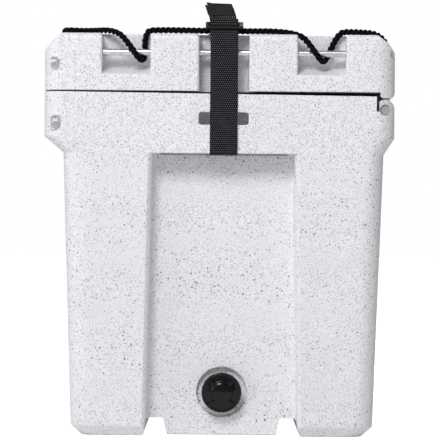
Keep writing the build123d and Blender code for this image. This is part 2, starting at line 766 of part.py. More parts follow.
def rope_route():
    """The rope's line: once round the lid, from one side of the splice to the other."""
    side_top = lid_top + rope_over - lid_rod_z
    end_top = lid_top + rope_over - end_rod_z
    side_half, end_half = side_notch_width / 2, notch_width / 2

    def rear(y):
        return lambda u, w, h: (lid_rod_x + w, y + u, lid_rod_z + h)

    def front(y):
        return lambda u, w, h: (-lid_rod_x - w, y - u, lid_rod_z + h)

    def far(x):
        return lambda u, w, h: (x - u, end_rod_y + w, end_rod_z + h)

    def near(x):
        return lambda u, w, h: (x + u, -end_rod_y - w, end_rod_z + h)

    splice_x, splice_z = half_depth - splice_inset, lid_top + splice_radius + 0.3
    lead = splice_length / 2 + splice_lead
    press_y, press_z = end_rod_y - rope_wrap + 2.0, lid_top + rope_press
    route = [(splice_x, splice_length / 2, splice_z), (splice_x, lead, splice_z)]
    rising = [y for y in side_notches if y > 0]
    for y in rising:
        route += rope_dip(rear(y), side_half, side_top)
    route += rope_dip(far(tub_offset + notch_offset), end_half, end_top)
    route.append((tub_offset, press_y, press_z))
    route += rope_dip(far(tub_offset - notch_offset), end_half, end_top)
    for y in reversed(side_notches):
        route += rope_dip(front(y), side_half, side_top)
    route += rope_dip(near(tub_offset - notch_offset), end_half, end_top)
    route.append((tub_offset, -press_y, press_z))
    route += rope_dip(near(tub_offset + notch_offset), end_half, end_top)
    for y in side_notches[:2]:
        route += rope_dip(rear(y), side_half, side_top)
    return route + [(splice_x, -lead, splice_z), (splice_x, -splice_length / 2, splice_z)]


def tie_rope():
    """The rope as a plain round tube of straight runs and arcs, each as large as its runs allow."""
    points = [Vector(*point) for point in rope_route()]
    radii = []
    for before, here, after in zip(points, points[1:], points[2:]):
        turn = math.radians((here - before).get_angle(after - here))
        shorter = min((here - before).length, (after - here).length)
        radii.append(0.45 * shorter / math.tan(turn / 2))
    path = FilletPolyline(*points, radius=radii)
    tube = sweep(Plane(points[0], z_dir=points[1] - points[0]) * Circle(rope_diameter / 2), path)
    share = tube.volume / (path.length * math.pi * rope_diameter**2 / 4)
    print(f"rope {path.length:.0f} mm, smallest radius {min(radii):.1f}, volume share {share:.3f}")
    return tube


def rope_splice():
    """The sleeve that joins the rope's two ends."""
    z = lid_top + splice_radius + 0.3
    sleeve = rod_y(half_depth - splice_inset, z, splice_radius, -splice_length / 2, splice_length / 2)
    return fillet(sleeve.edges().filter_by(GeomType.CIRCLE), 1.5)


parts = {
    "body_shell": body_shell,
    "body_foam": body_core,
    "lid_shell": lid_shell,
    "lid_foam": lid_core,
    "lid_gasket": lid_gasket,
    "hinge_rod": lambda: rod_with_length(pin_x, pin_height, -rod_end, rod_end),
    "hinge_screws": lambda: screw_group(pin_x, pin_height, (-1, 1)),
    "hinge_bushes": hinge_bushes,
    "lid_front_rod": lambda: rod_with_length(-lid_rod_x, lid_rod_z, -rod_end, rod_end),
    "lid_front_rod_screws": lambda: screw_group(-lid_rod_x, lid_rod_z, (-1, 1)),
    "lid_rear_rod": lambda: rod_with_length(lid_rod_x, lid_rod_z, -rear_rod_start, rod_end),
    "lid_rear_rod_screw": lambda: rod_screw(lid_rod_x, lid_rod_z, 1),
    "lid_end_rod_drain_side": lambda: end_rod(-1),
    "lid_end_rod_far_side": lambda: end_rod(1),
    "body_front_rod": lambda: rod_with_length(-body_rod_x, body_rod_height, -rod_end, rod_end),
    "body_front_rod_screws": lambda: screw_group(-body_rod_x, body_rod_height, (-1, 1)),
    "latch_drain_side": lambda: latch(-latch_middle),
    "latch_far_side": lambda: latch(latch_middle),
    "drain_fitting": drain_fitting,
    "drain_nut": drain_nut,
    "drain_washer": drain_washer,
    "drain_cap_seal": cap_seal,
    "drain_cap": drain_cap,
    "strap_loop_drain_side": strap_loop,
    "strap_loop_far_side": lambda: mirror(strap_loop(), Plane.XZ),
    "lid_strap": lid_strap,
    "buckle_drain_side": buckle,
    "buckle_far_side": lambda: mirror(buckle(), Plane.XZ),
    "strap_tail_drain_side": strap_tail,
    "strap_tail_far_side": lambda: mirror(strap_tail(), Plane.XZ),
    "tie_rope": tie_rope,
    "rope_splice": rope_splice,
}

for name, make in parts.items():
    shape = make()
    export_step(shape, f"parts/{name}.step")
    print(name, len(shape.solids()), round(shape.volume))
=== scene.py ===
import math

import bpy
from mathutils import Matrix, Vector


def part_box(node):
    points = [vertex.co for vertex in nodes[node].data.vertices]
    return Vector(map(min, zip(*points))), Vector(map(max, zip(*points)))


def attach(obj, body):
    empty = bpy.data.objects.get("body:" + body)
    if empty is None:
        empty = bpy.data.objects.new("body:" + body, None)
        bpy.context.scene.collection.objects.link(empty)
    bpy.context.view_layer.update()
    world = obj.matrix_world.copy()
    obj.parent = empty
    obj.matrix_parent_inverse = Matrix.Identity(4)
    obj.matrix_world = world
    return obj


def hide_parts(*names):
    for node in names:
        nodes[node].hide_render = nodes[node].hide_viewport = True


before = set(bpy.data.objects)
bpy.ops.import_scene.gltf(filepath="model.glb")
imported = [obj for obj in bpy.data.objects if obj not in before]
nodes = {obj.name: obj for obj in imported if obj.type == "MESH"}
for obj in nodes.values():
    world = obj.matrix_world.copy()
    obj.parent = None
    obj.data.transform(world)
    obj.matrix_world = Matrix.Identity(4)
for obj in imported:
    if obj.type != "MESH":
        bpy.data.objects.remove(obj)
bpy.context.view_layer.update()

# Camera and room. The chest is seen square on to its drain end, level with its middle, through
# a long lens, in a white room whose floor and walls throw soft light all round it.
LENS, SENSOR = 211.0, 36.0
STANDS_AT, LEANS = (0.0016, -3.325, 0.2535), math.radians(0.5)
camera = bpy.data.objects.new("camera", bpy.data.cameras.new("camera"))
bpy.context.scene.collection.objects.link(camera)
bpy.context.scene.camera = camera
camera.data.lens, camera.data.sensor_width = LENS, SENSOR
camera.data.clip_end = 50.0
level, roll = Matrix.Rotation(math.pi / 2, 4, "X"), Matrix.Rotation(LEANS, 4, "Z")
camera.matrix_world = Matrix.Translation(STANDS_AT) @ level @ roll

# The room looks plain white. What it throws on the chest is less, and fades from left to right.
GLOW_LEFT, GLOW_RIGHT = 0.44, 0.09
world = bpy.data.worlds.new("white_room")
world.use_nodes = True
glow = world.node_tree.nodes["Background"]
seen, facing, across_room, soft_glow, strength = (world.node_tree.nodes.new("ShaderNode" + kind) for kind in (
    "LightPath", "TexCoord", "SeparateXYZ", "MapRange", "Mix"))
for socket, value in (("From Min", -1.0), ("From Max", 1.0), ("To Min", GLOW_LEFT), ("To Max", GLOW_RIGHT)):
    soft_glow.inputs[socket].default_value = value
strength.inputs[3].default_value = 1.0
for start, end in ((facing.outputs["Generated"], across_room.inputs[0]),
                   (across_room.outputs["X"], soft_glow.inputs["Value"]),
                   (soft_glow.outputs[0], strength.inputs[2]),
                   (seen.outputs["Is Camera Ray"], strength.inputs[0]),
                   (strength.outputs[0], glow.inputs["Strength"])):
    world.node_tree.links.new(start, end)
glow.inputs["Color"].default_value = (1.0, 1.0, 1.0, 1.0)
bpy.context.scene.world = world
bpy.context.scene.view_settings.view_transform = "Standard"

# name, where it hangs, width, power in watts; all of them point at the middle of the chest
AIMED_AT = Vector((0.0, 0.0, 0.25))
soft_boxes = [
    ("front_box", (-0.7, -2.6, 2.4), 1.0, 58.0),
    ("left_box", (-2.6, -1.6, 1.3), 1.6, 10.0),
    ("right_box", (2.8, 0.2, 1.4), 1.8, 2.5),
    ("back_box", (0.8, 2.9, 1.8), 2.2, 20.0),
]
for name, place, width, power in soft_boxes:
    light = bpy.data.lights.new(name, "AREA")
    light.size, light.energy = width, power
    lamp = bpy.data.objects.new(name, light)
    bpy.context.scene.collection.objects.link(lamp)
    aim = AIMED_AT - Vector(place)
    lamp.matrix_world = Matrix.Translation(place) @ aim.to_track_quat("-Z", "Y").to_matrix().to_4x4()


class Wire:
    """One shader output. Arithmetic on wires adds Math nodes, and node() adds any other node."""

    def __init__(self, tree, out=None):
        self.tree, self.out = tree, out

    def node(self, kind, settings=(), inputs=(), output=0):
        made = self.tree.nodes.new("ShaderNode" + kind)
        for name, value in dict(settings).items():
            setattr(made, name, value)
        for name, value in dict(inputs).items():
            if isinstance(value, Wire):
                self.tree.links.new(value.out, made.inputs[name])
            else:
                made.inputs[name].default_value = value
        return Wire(self.tree, made.outputs[output])

    def also(self, output):
        """Another output of the same node."""
        return Wire(self.tree, self.out.node.outputs[output])

    def sum(self, operation, *values):
        return self.node("Math", {"operation": operation}, enumerate(values))

    def __add__(self, other):
        return self.sum("ADD", self, other)

    def __sub__(self, other):
        return self.sum("SUBTRACT", self, other)

    def __rsub__(self, other):
        return self.sum("SUBTRACT", other, self)

    def __mul__(self, other):
        return self.sum("MULTIPLY", self, other)

    def __lt__(self, other):
        return self.sum("LESS_THAN", self, other)

    def __abs__(self):
        return self.sum("ABSOLUTE", self)

    __radd__, __rmul__ = __add__, __mul__

    def fade(self, low, high):
        """0 where the wire is at low, 1 where it is at high, smooth between."""
        return self.node("MapRange", {"interpolation_type": "SMOOTHSTEP"},
                         {"Value": self, "From Min": low, "From Max": high})

    def mix(self, colour, other):
        """colour where the wire is 0 and other where it is 1."""
        return self.node("Mix", {"data_type": "RGBA"}, {"Factor": self, 6: colour, 7: other}, 2)


def rgb(red, green, blue):
    """A colour given in the usual 0 to 255 steps, as the shader wants it."""
    steps = (value / 255 for value in (red, green, blue))
    return (*(s / 12.92 if s <= 0.04045 else ((s + 0.055) / 1.055) ** 2.4 for s in steps), 1.0)


def new_finish(name, roughness, **fixed):
    """An empty material with its shader's even values set, and a wire to build its pattern from."""
    finish = bpy.data.materials.new(name)
    finish.use_nodes = True
    shader = finish.node_tree.nodes["Principled BSDF"]
    shader.inputs["Roughness"].default_value = roughness
    for socket, value in fixed.items():
        shader.inputs[socket.replace("_", " ")].default_value = value
    return finish, Wire(finish.node_tree)


def feed(finish, height=None, depth=0.0, **wires):
    """Puts finished wires on the shader: colours and values by name, and a height as bump."""
    tree = finish.node_tree
    shader = tree.nodes["Principled BSDF"]
    if height is not None:
        bump = {"Height": height, "Distance": depth, "Strength": 1.0}
        wires["Normal"] = height.node("Bump", {}, bump)
    for socket, wire in wires.items():
        tree.links.new(wire.out, shader.inputs[socket.replace("_", " ")])


def dress(names, finish):
    """Gives the model's own solids a finish."""
    for name in names:
        nodes[name].data.materials.clear()
        nodes[name].data.materials.append(finish)


# The floor is a white paper sheet that the chest stands on. It glows, so that it looks white to
# its edges, and throws less of that glow up on the chest than it shows.
bpy.ops.object.select_all(action="DESELECT")
bpy.ops.mesh.primitive_plane_add(size=30.0, location=(0.0, 0.0, -0.0005))
floor = bpy.context.object
floor.name = "floor"
paper, wire = new_finish("white_paper", 0.9, Base_Color=(0.85, 0.85, 0.85, 1.0), Emission_Strength=1.0)
floor.data.materials.append(paper)
seen = wire.node("LightPath")
feed(paper, Emission_Color=seen.mix(rgb(94, 94, 94), rgb(255, 255, 255)))

# The rope. A black three-strand rope, 8 mm thick, goes once round the lid. At each notch it
# dips outside a rod, under it and up inside it, and its two ends meet in a sleeve at the back.
ROPE = 0.008
WRAP, OVER, PRESS = 0.0087, 0.0040, 0.0038
LID_TOP = 0.4706
TUB_MIDDLE = 0.005
SIDE_ROD_X, SIDE_ROD_Z = 0.1925, 0.4332
END_ROD_Y, END_ROD_Z = 0.313, 0.4485
SIDE_NOTCHES = (-0.262, -0.068, 0.068, 0.262)
NOTCH_OFFSET = 0.114
SPLICE_X, SPLICE_Z, SPLICE_END, SPLICE_LEAD = 0.181, 0.4773, 0.023, 0.034
# Over the front corner at the drain the rope lies back from the edge. In the notch beside it, it
# crosses to the far side before it goes under the rod, and comes up steeply there.
CORNER_X, CORNER_Y, CROSSES, STEEP_RISE = -0.157, -0.287, 0.0165, 0.0135


def dip(place, half, top, rise=None):
    """The rope's points at one notch: off the pad, outside the rod, under it, inside it, up."""
    rise = rise or half
    return [place(*point) for point in (
        (-half, 0.001, top),
        (-0.0115, WRAP, WRAP - 0.0025),
        (-0.0015, WRAP, -WRAP),
        (0.0045, -WRAP, -WRAP),
        (rise - 0.009, -WRAP, top - 0.001),
        (rise + 0.004, -WRAP - 0.0015, top + 0.0012),
    )]


def rope_points():
    """Once round the lid, from one end of the sleeve to the other."""
    side_top, end_top = LID_TOP + OVER - SIDE_ROD_Z, LID_TOP + OVER - END_ROD_Z
    press_y, press_z = END_ROD_Y - WRAP + 0.002, LID_TOP + PRESS

    def rear(y):
        return dip(lambda u, w, h: (SIDE_ROD_X + w, y + u, SIDE_ROD_Z + h), 0.022, side_top)

    def front(y):
        return dip(lambda u, w, h: (-SIDE_ROD_X - w, y - u, SIDE_ROD_Z + h), 0.022, side_top)

    def far(x):
        return dip(lambda u, w, h: (x - u, END_ROD_Y + w, END_ROD_Z + h), 0.028, end_top)

    def near(x, rise=None):
        return dip(lambda u, w, h: (x + u, -END_ROD_Y - w, END_ROD_Z + h), 0.028, end_top, rise)

    points = [(SPLICE_X, SPLICE_END, SPLICE_Z), (SPLICE_X, SPLICE_LEAD, SPLICE_Z)]
    points += rear(SIDE_NOTCHES[2]) + rear(SIDE_NOTCHES[3])
    points += far(TUB_MIDDLE + NOTCH_OFFSET) + [(TUB_MIDDLE, press_y, press_z)]
    points += far(TUB_MIDDLE - NOTCH_OFFSET)
    for y in reversed(SIDE_NOTCHES):
        points += front(y)
    points += [(CORNER_X, CORNER_Y, press_z)]
    points += near(TUB_MIDDLE - NOTCH_OFFSET + CROSSES, STEEP_RISE) + [(TUB_MIDDLE, -press_y, press_z)]
    points += near(TUB_MIDDLE + NOTCH_OFFSET) + rear(SIDE_NOTCHES[0]) + rear(SIDE_NOTCHES[1])
    return points + [(SPLICE_X, -SPLICE_LEAD, SPLICE_Z), (SPLICE_X, -SPLICE_END, SPLICE_Z)]


def smooth_line(points, step):
    """A NURBS line with these control points, as points that lie one step apart along it."""
    curve = bpy.data.curves.new("line", "CURVE")
    curve.dimensions, curve.resolution_u = "3D", 24
    spline = curve.splines.new("NURBS")
    spline.points.add(len(points) - 1)
    for control, point in zip(spline.points, points):
        control.co = (*point, 1.0)
    spline.order_u = 3
    spline.use_endpoint_u = True
    holder = bpy.data.objects.new("line", curve)
    bpy.context.scene.collection.objects.link(holder)
    bpy.context.view_layer.update()
    mesh = bpy.data.meshes.new_from_object(holder.evaluated_get(bpy.context.evaluated_depsgraph_get()))
    fine = []
    for vertex in mesh.vertices:
        if not fine or (vertex.co - fine[-1]).length > 1e-5:
            fine.append(vertex.co.copy())
    bpy.data.objects.remove(holder)
    bpy.data.curves.remove(curve)
    bpy.data.meshes.remove(mesh)
    reach = [0.0]
    for before, here in zip(fine, fine[1:]):
        reach.append(reach[-1] + (here - before).length)
    count = max(2, round(reach[-1] / step))
    line, at = [], 0
    for i in range(count + 1):
        want = reach[-1] * i / count
        while at < len(fine) - 2 and reach[at + 1] < want:
            at += 1
        share = (want - reach[at]) / max(reach[at + 1] - reach[at], 1e-9)
        line.append(fine[at].lerp(fine[at + 1], min(1.0, share)))
    return line, reach[-1]


def skin(name, rings, stretch, width):
    """Joins rings of points into one surface, with a map that runs round and along it in metres."""
    sides = len(rings[0])
    points = [point for ring in rings for point in ring]
    faces, maps = [], []
    for i in range(len(rings) - 1):
        for j in range(sides):
            k = (j + 1) % sides
            here, ahead = i * sides, (i + 1) * sides
            faces.append((here + j, here + k, ahead + k, ahead + j))
            low, high = stretch[j], stretch[j + 1]
            along, beyond = i * width, (i + 1) * width
            maps.append(((low, along), (high, along), (high, beyond), (low, beyond)))
    for first, order in ((0, range(sides - 1, -1, -1)), ((len(rings) - 1) * sides, range(sides))):
        faces.append(tuple(first + j for j in order))
        maps.append(((0.0, 0.0),) * sides)
    mesh = bpy.data.meshes.new(name)
    mesh.from_pydata(points, [], faces)
    layer = mesh.uv_layers.new(name="run")
    flat = [pair for face in maps for pair in face]
    for loop, pair in zip(layer.data, flat):
        loop.uv = pair
    mesh.shade_smooth()
    made = bpy.data.objects.new(name, mesh)
    bpy.context.scene.collection.objects.link(made)
    return made


STRAND, HELIX, LAY_LENGTH, RING_STEP = 0.464 * ROPE, 0.268 * ROPE, 0.018, 0.0022
rope_line, rope_length = smooth_line(rope_points(), RING_STEP)
strand_sides = 9
up = Vector((0.0, 0.0, 1.0))
strand_rings = [[], [], []]
for i, centre in enumerate(rope_line):
    way = (rope_line[min(i + 1, len(rope_line) - 1)] - rope_line[max(i - 1, 0)]).normalized()
    up = (up - way * up.dot(way)).normalized()
    aside = way.cross(up)
    turn = 2 * math.pi * i * rope_length / (len(rope_line) - 1) / LAY_LENGTH
    for strand, rings in enumerate(strand_rings):
        angle = turn + strand * 2 * math.pi / 3
        middle = centre + (up * math.cos(angle) - aside * math.sin(angle)) * HELIX
        rings.append([middle + (up * math.cos(a) - aside * math.sin(a)) * STRAND / 2
                      for a in (angle + 2 * math.pi * j / strand_sides for j in range(strand_sides))])
round_map = [j / strand_sides for j in range(strand_sides + 1)]
strands = [skin(f"strand_{i}", rings, round_map, RING_STEP) for i, rings in enumerate(strand_rings)]
bpy.ops.object.select_all(action="DESELECT")
for strand in strands:
    strand.select_set(True)
bpy.context.view_layer.objects.active = strands[0]
bpy.ops.object.join()
rope = strands[0]
rope.name = "rope"

rope_black, wire = new_finish("rope_black", 0.7, Specular_IOR_Level=0.1)
run = wire.node("TexCoord", output="UV")
around = run.node("SeparateXYZ", {}, {0: run})
along = around.also(1)
yarn = (around * 7.0 + along * 420.0).sum("FRACT", around * 7.0 + along * 420.0)
ridge = 1 - abs(yarn * 2.0 - 1.0)
place = wire.node("TexCoord", output="Object")
fuzz = wire.node("TexNoise", {}, {"Vector": place, "Scale": 900.0, "Detail": 3.0})
# Painted shade and highlight: each yarn's crest is painted lighter and the grooves between the yarns darker,
# with random fuzz in the tone.
painted_groove_shade_and_fuzz = ridge.fade(0.1, 0.9) * (0.55 + fuzz * 0.5)
feed(rope_black, height=ridge * 0.7 + fuzz * 0.5, depth=0.0003,
     Base_Color=painted_groove_shade_and_fuzz.mix(rgb(6, 6, 8), rgb(28, 29, 32)), Roughness=0.85 - painted_groove_shade_and_fuzz * 0.25)
rope.data.materials.clear()
rope.data.materials.append(rope_black)
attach(rope, "lid")
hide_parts("tie_rope")

# The splice. A short moulded rubber sleeve is crimped over the rope's two ends, with raised rings
# for grip and a tapered mouth at each end.
SLEEVE_RADIUS = 0.0064


def alone(piece):
    """Selects one piece and nothing else."""
    if bpy.context.mode != "OBJECT":
        bpy.ops.object.mode_set(mode="OBJECT")
    bpy.ops.object.select_all(action="DESELECT")
    piece.select_set(True)
    bpy.context.view_layer.objects.active = piece


def settle(piece, name, body, finish, stands_for=(), sharp=35.0):
    """A finished new piece: its place goes into its mesh, and it gets its finish and its body."""
    alone(piece)
    bpy.ops.object.transform_apply(location=True, rotation=True, scale=True)
    bpy.ops.object.shade_smooth_by_angle(angle=math.radians(sharp))
    piece.name = piece.data.name = name
    piece.data.materials.clear()
    piece.data.materials.append(finish)
    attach(piece, body)
    if stands_for:
        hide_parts(*stands_for)
    return piece


def choose(piece, wanted, kind="FACE"):
    """In edit mode, selects the faces or edges whose middle passes the test wanted."""
    bpy.ops.object.mode_set(mode="EDIT")
    bpy.ops.mesh.select_mode(type=kind)
    bpy.ops.mesh.select_all(action="DESELECT")
    bpy.ops.object.mode_set(mode="OBJECT")
    corners = piece.data.vertices
    for part in (piece.data.polygons if kind == "FACE" else piece.data.edges):
        middle = sum((corners[v].co for v in part.vertices), Vector()) / len(part.vertices)
        part.select = bool(wanted(middle, part))
    bpy.ops.object.mode_set(mode="EDIT")


def modify(piece, kind, **values):
    """Adds a modifier, sets it and applies it."""
    alone(piece)
    made = piece.modifiers.new(kind.lower(), kind)
    for name, value in values.items():
        setattr(made, name, value)
    bpy.ops.object.modifier_apply(modifier=made.name)


def turned(steps, sides, place, axis):
    """A turned part: a disc, extruded and scaled through its (along, radius) steps, on its axis."""
    bpy.ops.object.select_all(action="DESELECT")
    bpy.ops.mesh.primitive_circle_add(vertices=sides, radius=steps[0][1], fill_type="NGON",
                                      location=(0.0, 0.0, steps[0][0]))
    piece = bpy.context.object
    bpy.ops.object.transform_apply(location=True, rotation=False, scale=False)
    bpy.ops.object.mode_set(mode="EDIT")
    bpy.ops.mesh.select_all(action="SELECT")
    for (start, wide), (end, new_wide) in zip(steps, steps[1:]):
        bpy.ops.mesh.extrude_region_move(TRANSFORM_OT_translate={"value": (0.0, 0.0, end - start)})
        ratio = new_wide / wide
        bpy.ops.transform.resize(value=(ratio, ratio, 1.0), center_override=(0.0, 0.0, end))
    bpy.ops.mesh.select_all(action="SELECT")
    bpy.ops.mesh.normals_make_consistent(inside=False)
    bpy.ops.object.mode_set(mode="OBJECT")
    tip = Vector(axis).to_track_quat("Z", "Y").to_matrix().to_4x4()
    piece.matrix_world = Matrix.Translation(place) @ tip
    return piece


sleeve_outline = [(-0.023, 0.0046), (-0.0222, 0.0052), (-0.0196, 0.0056)]
for ring in range(-3, 4):
    middle = ring * 0.0052
    sleeve_outline += [(middle - 0.0017, 0.0056), (middle - 0.0012, SLEEVE_RADIUS),
                       (middle + 0.0012, SLEEVE_RADIUS), (middle + 0.0017, 0.0056)]
sleeve_outline += [(0.0196, 0.0056), (0.0222, 0.0052), (0.023, 0.0046)]
sleeve = turned(sleeve_outline, 40, (SPLICE_X, 0.0, SPLICE_Z), (0, 1, 0))

rubber, wire = new_finish("moulded_rubber", 0.6)
place = wire.node("TexCoord", output="Object")
grain = wire.node("TexNoise", {}, {"Vector": place, "Scale": 1400.0, "Detail": 2.0})
wear = wire.node("TexNoise", {}, {"Vector": place, "Scale": 60.0, "Detail": 4.0}).fade(0.4, 0.75)
feed(rubber, height=grain, depth=0.0001, Base_Color=wear.mix(rgb(24, 25, 27), rgb(40, 41, 44)),
     Roughness=0.52 + grain * 0.12 + wear * 0.1)
settle(sleeve, "splice_sleeve", "lid", rubber, ["rope_splice"])

# The two shells. Lid and body are rotationally moulded in off-white polyethylene with black and
# grey specks all through it. Each is hollow, with a fine orange-peel skin and rounded edges.
speckled, wire = new_finish("speckled_shell", 0.42, Specular_IOR_Level=0.42)
place = wire.node("TexCoord", output="Object")


def specks(cell, smallest, largest, share):
    """Round grains: one in each cell of that size, present in that share of the cells."""
    near = wire.node("TexVoronoi", {}, {"Vector": place, "Scale": 1 / cell})
    chance = wire.node("SeparateColor", {}, {0: near.also("Color")})
    radius = (smallest + chance.also("Green") * (largest - smallest)) * (chance.also("Red") < share)
    return (radius - near * cell).fade(-0.00006, 0.00012)


black_grains = specks(0.0046, 0.0004, 0.0010, 0.42)
grey_grains = specks(0.0023, 0.0003, 0.0008, 0.6)
mottle = wire.node("TexNoise", {}, {"Vector": place, "Scale": 620.0, "Detail": 3.0, "Roughness": 0.75})
cloud = wire.node("TexNoise", {}, {"Vector": place, "Scale": 9.0, "Detail": 2.0}).fade(0.3, 0.7)
base = mottle.fade(0.32, 0.60).mix(rgb(206, 208, 215), rgb(250, 250, 252))
base = (cloud * 0.25).mix(base, rgb(226, 227, 233))
base = (grey_grains * 0.8).mix(base, rgb(128, 130, 140))
base = (black_grains * 0.98).mix(base, rgb(24, 25, 32))
peel = wire.node("TexNoise", {}, {"Vector": place, "Scale": 260.0, "Detail": 2.0})
worn = wire.node("TexNoise", {}, {"Vector": place, "Scale": 26.0, "Detail": 5.0}).fade(0.45, 0.75)
skin_bump = wire.node("Bump", {}, {"Height": peel, "Distance": 0.00016, "Strength": 1.0,
                                   "Normal": wire.node("Bevel", {"samples": 6}, {"Radius": 0.0016})})
feed(speckled, Base_Color=base, Normal=skin_bump, Roughness=0.38 + mottle * 0.06 + worn * 0.1)
dress(["body_shell", "lid_shell"], speckled)

# Foam and gasket. The shells are filled with pale rigid foam, and a grey rubber ring under the
# lid seals it on the rim.
foam, wire = new_finish("rigid_foam", 0.9)
cell = wire.node("TexVoronoi", {}, {"Vector": wire.node("TexCoord", output="Object"), "Scale": 900.0})
feed(foam, height=cell, depth=0.0004, Base_Color=cell.mix(rgb(214, 190, 128), rgb(240, 224, 178)))
dress(["body_foam", "lid_foam"], foam)
dress(["lid_gasket", "drain_washer", "drain_cap_seal"], rubber)

# Rods and screws. Bright drawn aluminium rods hold the hinge, the latches and the rope; each is
# kept in by a pan-head steel screw at its end.
aluminium, wire = new_finish("drawn_aluminium", 0.3, Metallic=1.0)
place = wire.node("TexCoord", output="Object")
drawn = wire.node("TexNoise", {}, {
    "Vector": wire.node("Mapping", {}, {"Vector": place, "Scale": (2600.0, 22.0, 2600.0)}), "Scale": 1.0,
    "Detail": 2.0})
dull = wire.node("TexNoise", {}, {"Vector": place, "Scale": 90.0, "Detail": 3.0}).fade(0.35, 0.7)
feed(aluminium, height=drawn, depth=0.00004, Base_Color=dull.mix(rgb(232, 233, 236), rgb(206, 208, 212)),
     Roughness=0.2 + drawn * 0.14 + dull * 0.1)
dress([name for name in nodes if name.endswith("_rod") or "end_rod" in name], aluminium)
steel, wire = new_finish("screw_steel", 0.35, Metallic=1.0)
place = wire.node("TexCoord", output="Object")
rub = wire.node("TexNoise", {}, {"Vector": place, "Scale": 500.0, "Detail": 4.0})
feed(steel, height=rub, depth=0.00003, Base_Color=rub.mix(rgb(196, 196, 199), rgb(226, 226, 228)),
     Roughness=0.28 + rub * 0.25)
dress([name for name in nodes if "_screw" in name], steel)

# Nylon. The hinge bushes and the drain's own tube, flange and nut are moulded black nylon.
nylon, wire = new_finish("black_nylon", 0.4)
place = wire.node("TexCoord", output="Object")
fine = wire.node("TexNoise", {}, {"Vector": place, "Scale": 1800.0, "Detail": 2.0})
feed(nylon, height=fine, depth=0.00005, Base_Color=fine.mix(rgb(26, 27, 30), rgb(38, 39, 43)),
     Roughness=0.34 + fine * 0.14)
dress(["hinge_bushes", "drain_fitting", "drain_nut"], nylon)

# Drain cap. A glossy black moulded cap screws on to the drain: a thin raised rim, a domed
# middle, and four ribs in a cross between them that the fingers turn it by.
low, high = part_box("drain_cap")
cap_middle = Vector(((low.x + high.x) / 2, low.y, (low.z + high.z) / 2))
CAP, DOME, DOME_HIGH, DISH, CAP_LONG = (high.x - low.x) / 2, 0.0130, 0.0026, 0.0024, 0.0040
RIB_THICK, RIB_WIDE, RIB_LIFT = 0.0040, 0.0044, 0.0013
skirt = high.y - low.y - DOME_HIGH - CAP_LONG
cap_steps = [
    (-CAP_LONG - skirt, 0.0193), (-CAP_LONG - 0.0002, 0.0193), (-CAP_LONG, CAP - 0.0006),
    (-CAP_LONG + 0.0005, CAP), (-0.0012, CAP), (-0.0004, CAP - 0.0004), (0.0, CAP - 0.0011),
    (0.0, CAP - 0.0021), (-0.0004, CAP - 0.0026), (-DISH, CAP - 0.0030), (-DISH, DOME + 0.0008),
    (-DISH + 0.0003, DOME + 0.0002), (-0.0006, DOME), (DOME_HIGH - 0.0022, DOME - 0.0010),
    (DOME_HIGH - 0.0013, DOME * 0.8), (DOME_HIGH - 0.0007, DOME * 0.6), (DOME_HIGH - 0.0002, DOME * 0.3),
    (DOME_HIGH, DOME * 0.1),
]
cap_face = cap_middle + Vector((0.0, DOME_HIGH, 0.0))
cap = turned(cap_steps, 96, cap_face, (0, -1, 0))
for quarter in range(4):
    bpy.ops.object.select_all(action="DESELECT")
    bpy.ops.mesh.primitive_cube_add(size=1.0)
    rib = bpy.context.object
    rib.scale = (CAP - DOME - 0.0008, RIB_THICK, RIB_WIDE)
    bpy.ops.object.transform_apply(location=False, rotation=False, scale=True)
    choose(rib, lambda middle, part: part.normal.y < -0.9)
    bpy.ops.transform.resize(value=(1.0, 1.0, 0.72), center_override=(0, 0, 0))
    bpy.ops.object.mode_set(mode="OBJECT")
    modify(rib, "BEVEL", width=0.0006, segments=3)
    turn = Matrix.Rotation(math.radians(45 + 90 * quarter), 4, "Y")
    out = Matrix.Translation(((CAP + DOME) / 2 - 0.0008, 0.0, 0.0))
    rib.matrix_world = Matrix.Translation(cap_face + Vector((0, RIB_LIFT, 0))) @ turn @ out
    alone(cap)
    rib.select_set(True)
    bpy.ops.object.join()
gloss, wire = new_finish("gloss_black", 0.2, Coat_Weight=0.15, Coat_Roughness=0.08, Specular_IOR_Level=0.25)
place = wire.node("TexCoord", output="Object")
flow = wire.node("TexNoise", {}, {"Vector": place, "Scale": 140.0, "Detail": 2.0})
scuff = wire.node("TexNoise", {}, {"Vector": place, "Scale": 420.0, "Detail": 5.0}).fade(0.55, 0.8)
feed(gloss, height=flow, depth=0.00006, Base_Color=scuff.mix(rgb(13, 13, 16), rgb(34, 35, 39)),
     Roughness=0.14 + scuff * 0.22)
settle(cap, "drain_screw_cap", "drain_cap", gloss, ["drain_cap"], sharp=28.0)

# Latches. Each is one moulding in black rubber: an eye round the body's rod, a flat pull, and a
# hook over the lid's rod, with a raised border and three ribs on its tab for the fingers.
GRIP_THICK, GRIP_HIGH, GRIP_SHARE, GRIP_STEP, GRIP_DROP = 0.0016, 0.0019, 0.7, 0.0042, 0.0105
BORDER_THICK, BORDER_WIDE, BORDER_INSET = 0.0013, 0.0026, 0.0045
BORDER_UP, BORDER_DOWN = 0.018, 0.021


def softened(node, width):
    """A copy of one of the model's solids, merged, with its edges rounded over."""
    piece = bpy.data.objects.new(node + "_soft", nodes[node].data.copy())
    bpy.context.scene.collection.objects.link(piece)
    alone(piece)
    bpy.ops.object.mode_set(mode="EDIT")
    bpy.ops.mesh.select_all(action="SELECT")
    bpy.ops.mesh.remove_doubles(threshold=1e-6)
    bpy.ops.mesh.dissolve_limited(angle_limit=math.radians(1.0))
    bpy.ops.object.mode_set(mode="OBJECT")
    modify(piece, "BEVEL", width=width, segments=3, limit_method="ANGLE", angle_limit=math.radians(40))
    return piece


def pad(centre, size, width):
    """A small rounded block."""
    bpy.ops.object.select_all(action="DESELECT")
    bpy.ops.mesh.primitive_cube_add(size=1.0, location=centre)
    block = bpy.context.object
    block.scale = size
    bpy.ops.object.transform_apply(location=True, rotation=False, scale=True)
    modify(block, "BEVEL", width=width, segments=3)
    return block


